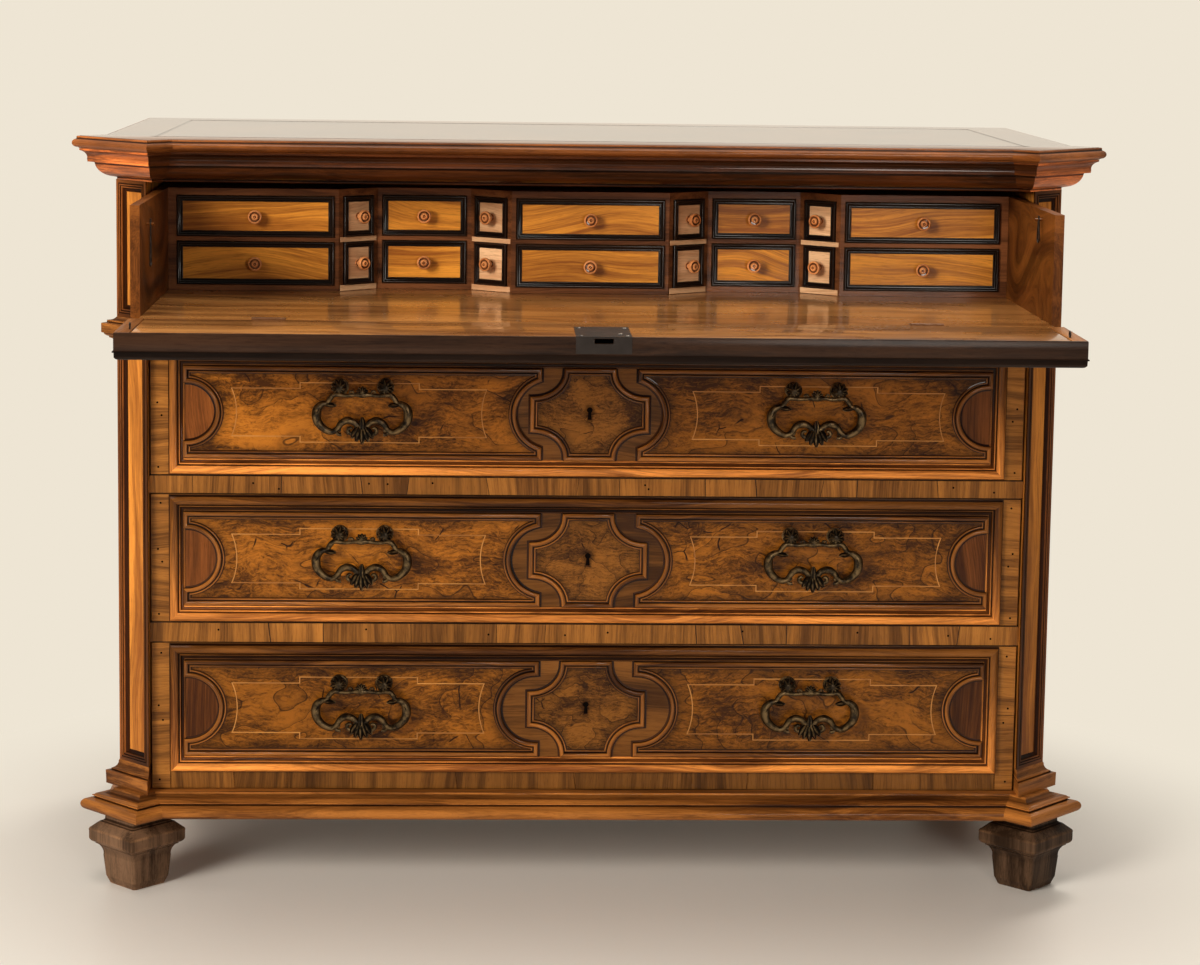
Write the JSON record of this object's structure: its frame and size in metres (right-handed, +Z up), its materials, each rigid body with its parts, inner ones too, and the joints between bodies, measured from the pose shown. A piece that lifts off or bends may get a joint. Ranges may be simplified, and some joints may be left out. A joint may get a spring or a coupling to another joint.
{
  "type": "commode",
  "caption": "Baroque walnut commode with canted pilasters, long drawers with bronze bails, and a pull-out writing tier whose fall opens before a nest of small drawers.",
  "frame": {"origin": "on the floor, at the middle of the commode's box with its writing tier drawn out and its fall open", "axes": "+Z up, front towards -Y, +X along the drawers"},
  "size_m": [1.4876, 1.0434, 1.09],
  "materials": {
    "walnut": "polished",
    "dark_walnut": "polished",
    "crossbanding": "polished",
    "drawer_linings": "planed",
    "olive_wood": "polished",
    "bronze": "patinated",
    "iron": "worn"
  },
  "bodies": {
    "case": {"top_board": "walnut", "cornice_moulding": "dark_walnut", "side_panel_left": "walnut", "side_panel_right": "walnut", "back_panel": "drawer_linings", "bottom_board": "drawer_linings", "base_moulding": "dark_walnut", "pilaster_left": "walnut", "pilaster_right": "walnut", "foot_front_left": "dark_walnut", "foot_front_right": "dark_walnut", "foot_back_left": "dark_walnut", "foot_back_right": "dark_walnut", "rail_upper": "crossbanding", "rail_middle": "crossbanding", "rail_lower": "crossbanding"},
    "tray": {"tray_floor": "walnut", "tray_side_left": "walnut", "tray_side_right": "walnut", "small_drawer_nest": "dark_walnut", "fall_hinge_left": "iron", "fall_hinge_right": "iron"},
    "fall": {"fall_front": "walnut", "fall_lock": "iron"},
    "fall_bolt": {"fall_bolt": "iron"},
    "hook_left": {"hook_left": "iron"},
    "hook_right": {"hook_right": "iron"},
    "small_centre_lower": {"small_centre_lower": "olive_wood"},
    "small_centre_upper": {"small_centre_upper": "olive_wood"},
    "small_inner_angle_left_lower": {"small_inner_angle_left_lower": "olive_wood"},
    "small_inner_angle_left_upper": {"small_inner_angle_left_upper": "olive_wood"},
    "small_bay_left_lower": {"small_bay_left_lower": "olive_wood"},
    "small_bay_left_upper": {"small_bay_left_upper": "olive_wood"},
    "small_outer_angle_left_lower": {"small_outer_angle_left_lower": "olive_wood"},
    "small_outer_angle_left_upper": {"small_outer_angle_left_upper": "olive_wood"},
    "small_end_left_lower": {"small_end_left_lower": "olive_wood"},
    "small_end_left_upper": {"small_end_left_upper": "olive_wood"},
    "small_inner_angle_right_lower": {"small_inner_angle_right_lower": "olive_wood"},
    "small_inner_angle_right_upper": {"small_inner_angle_right_upper": "olive_wood"},
    "small_bay_right_lower": {"small_bay_right_lower": "olive_wood"},
    "small_bay_right_upper": {"small_bay_right_upper": "olive_wood"},
    "small_outer_angle_right_lower": {"small_outer_angle_right_lower": "olive_wood"},
    "small_outer_angle_right_upper": {"small_outer_angle_right_upper": "olive_wood"},
    "small_end_right_lower": {"small_end_right_lower": "olive_wood"},
    "small_end_right_upper": {"small_end_right_upper": "olive_wood"},
    "drawer_1": {"drawer_1_front": "walnut", "drawer_1_box": "drawer_linings"},
    "drawer_1_bolt": {"drawer_1_bolt": "iron"},
    "bail_1_left": {"bail_1_left": "bronze"},
    "bail_1_right": {"bail_1_right": "bronze"},
    "drawer_2": {"drawer_2_front": "walnut", "drawer_2_box": "drawer_linings"},
    "drawer_2_bolt": {"drawer_2_bolt": "iron"},
    "bail_2_left": {"bail_2_left": "bronze"},
    "bail_2_right": {"bail_2_right": "bronze"},
    "drawer_3": {"drawer_3_front": "walnut", "drawer_3_box": "drawer_linings"},
    "drawer_3_bolt": {"drawer_3_bolt": "iron"},
    "bail_3_left": {"bail_3_left": "bronze"},
    "bail_3_right": {"bail_3_right": "bronze"}
  },
  "joints": [
    {"name": "tray_slide", "type": "slide", "parent": "case", "child": "tray", "axis": [0, 1, 0], "range_m": [0, 0.323]},
    {"name": "fall_hinge", "type": "hinge", "parent": "tray", "child": "fall", "pos_m": [0, -0.3613, 0.865], "axis": [-1, 0, 0], "range_deg": [0, 90]},
    {"name": "fall_bolt_slide", "type": "slide", "parent": "fall", "child": "fall_bolt", "axis": [0, -1, 0], "range_m": [0, 0.008]},
    {"name": "hook_left_swing", "type": "hinge", "parent": "tray", "child": "hook_left", "pos_m": [-0.606, -0.2683, 0.983], "axis": [1, 0, 0], "range_deg": [-75, 75]},
    {"name": "hook_right_swing", "type": "hinge", "parent": "tray", "child": "hook_right", "pos_m": [0.606, -0.2583, 1.001], "axis": [1, 0, 0], "range_deg": [-75, 75]},
    {"name": "small_centre_lower_slide", "type": "slide", "parent": "tray", "child": "small_centre_lower", "axis": [0, -1, 0], "range_m": [0, 0.12]},
    {"name": "small_centre_upper_slide", "type": "slide", "parent": "tray", "child": "small_centre_upper", "axis": [0, -1, 0], "range_m": [0, 0.12]},
    {"name": "small_inner_angle_left_lower_slide", "type": "slide", "parent": "tray", "child": "small_inner_angle_left_lower", "axis": [0, -1, 0], "range_m": [0, 0.09]},
    {"name": "small_inner_angle_left_upper_slide", "type": "slide", "parent": "tray", "child": "small_inner_angle_left_upper", "axis": [0, -1, 0], "range_m": [0, 0.09]},
    {"name": "small_bay_left_lower_slide", "type": "slide", "parent": "tray", "child": "small_bay_left_lower", "axis": [0, -1, 0], "range_m": [0, 0.08]},
    {"name": "small_bay_left_upper_slide", "type": "slide", "parent": "tray", "child": "small_bay_left_upper", "axis": [0, -1, 0], "range_m": [0, 0.08]},
    {"name": "small_outer_angle_left_lower_slide", "type": "slide", "parent": "tray", "child": "small_outer_angle_left_lower", "axis": [0, -1, 0], "range_m": [0, 0.09]},
    {"name": "small_outer_angle_left_upper_slide", "type": "slide", "parent": "tray", "child": "small_outer_angle_left_upper", "axis": [0, -1, 0], "range_m": [0, 0.09]},
    {"name": "small_end_left_lower_slide", "type": "slide", "parent": "tray", "child": "small_end_left_lower", "axis": [0, -1, 0], "range_m": [0, 0.12]},
    {"name": "small_end_left_upper_slide", "type": "slide", "parent": "tray", "child": "small_end_left_upper", "axis": [0, -1, 0], "range_m": [0, 0.12]},
    {"name": "small_inner_angle_right_lower_slide", "type": "slide", "parent": "tray", "child": "small_inner_angle_right_lower", "axis": [0, -1, 0], "range_m": [0, 0.09]},
    {"name": "small_inner_angle_right_upper_slide", "type": "slide", "parent": "tray", "child": "small_inner_angle_right_upper", "axis": [0, -1, 0], "range_m": [0, 0.09]},
    {"name": "small_bay_right_lower_slide", "type": "slide", "parent": "tray", "child": "small_bay_right_lower", "axis": [0, -1, 0], "range_m": [0, 0.08]},
    {"name": "small_bay_right_upper_slide", "type": "slide", "parent": "tray", "child": "small_bay_right_upper", "axis": [0, -1, 0], "range_m": [0, 0.08]},
    {"name": "small_outer_angle_right_lower_slide", "type": "slide", "parent": "tray", "child": "small_outer_angle_right_lower", "axis": [0, -1, 0], "range_m": [0, 0.09]},
    {"name": "small_outer_angle_right_upper_slide", "type": "slide", "parent": "tray", "child": "small_outer_angle_right_upper", "axis": [0, -1, 0], "range_m": [0, 0.09]},
    {"name": "small_end_right_lower_slide", "type": "slide", "parent": "tray", "child": "small_end_right_lower", "axis": [0, -1, 0], "range_m": [0, 0.12]},
    {"name": "small_end_right_upper_slide", "type": "slide", "parent": "tray", "child": "small_end_right_upper", "axis": [0, -1, 0], "range_m": [0, 0.12]},
    {"name": "drawer_1_slide", "type": "slide", "parent": "case", "child": "drawer_1", "axis": [0, -1, 0], "range_m": [0, 0.38]},
    {"name": "drawer_1_bolt_slide", "type": "slide", "parent": "drawer_1", "child": "drawer_1_bolt", "axis": [0, 0, 1], "range_m": [0, 0.008]},
    {"name": "bail_1_left_hinge", "type": "hinge", "parent": "drawer_1", "child": "bail_1_left", "pos_m": [-0.327, -0.0813, 0.7255], "axis": [-1, 0, 0], "range_deg": [0, 90]},
    {"name": "bail_1_right_hinge", "type": "hinge", "parent": "drawer_1", "child": "bail_1_right", "pos_m": [0.327, -0.0813, 0.7255], "axis": [-1, 0, 0], "range_deg": [0, 90]},
    {"name": "drawer_2_slide", "type": "slide", "parent": "case", "child": "drawer_2", "axis": [0, -1, 0], "range_m": [0, 0.38]},
    {"name": "drawer_2_bolt_slide", "type": "slide", "parent": "drawer_2", "child": "drawer_2_bolt", "axis": [0, 0, 1], "range_m": [0, 0.008]},
    {"name": "bail_2_left_hinge", "type": "hinge", "parent": "drawer_2", "child": "bail_2_left", "pos_m": [-0.327, -0.0813, 0.5115], "axis": [-1, 0, 0], "range_deg": [0, 90]},
    {"name": "bail_2_right_hinge", "type": "hinge", "parent": "drawer_2", "child": "bail_2_right", "pos_m": [0.327, -0.0813, 0.5115], "axis": [-1, 0, 0], "range_deg": [0, 90]},
    {"name": "drawer_3_slide", "type": "slide", "parent": "case", "child": "drawer_3", "axis": [0, -1, 0], "range_m": [0, 0.38]},
    {"name": "drawer_3_bolt_slide", "type": "slide", "parent": "drawer_3", "child": "drawer_3_bolt", "axis": [0, 0, 1], "range_m": [0, 0.008]},
    {"name": "bail_3_left_hinge", "type": "hinge", "parent": "drawer_3", "child": "bail_3_left", "pos_m": [-0.327, -0.0813, 0.2906], "axis": [-1, 0, 0], "range_deg": [0, 90]},
    {"name": "bail_3_right_hinge", "type": "hinge", "parent": "drawer_3", "child": "bail_3_right", "pos_m": [0.327, -0.0813, 0.2906], "axis": [-1, 0, 0], "range_deg": [0, 90]}
  ]
}
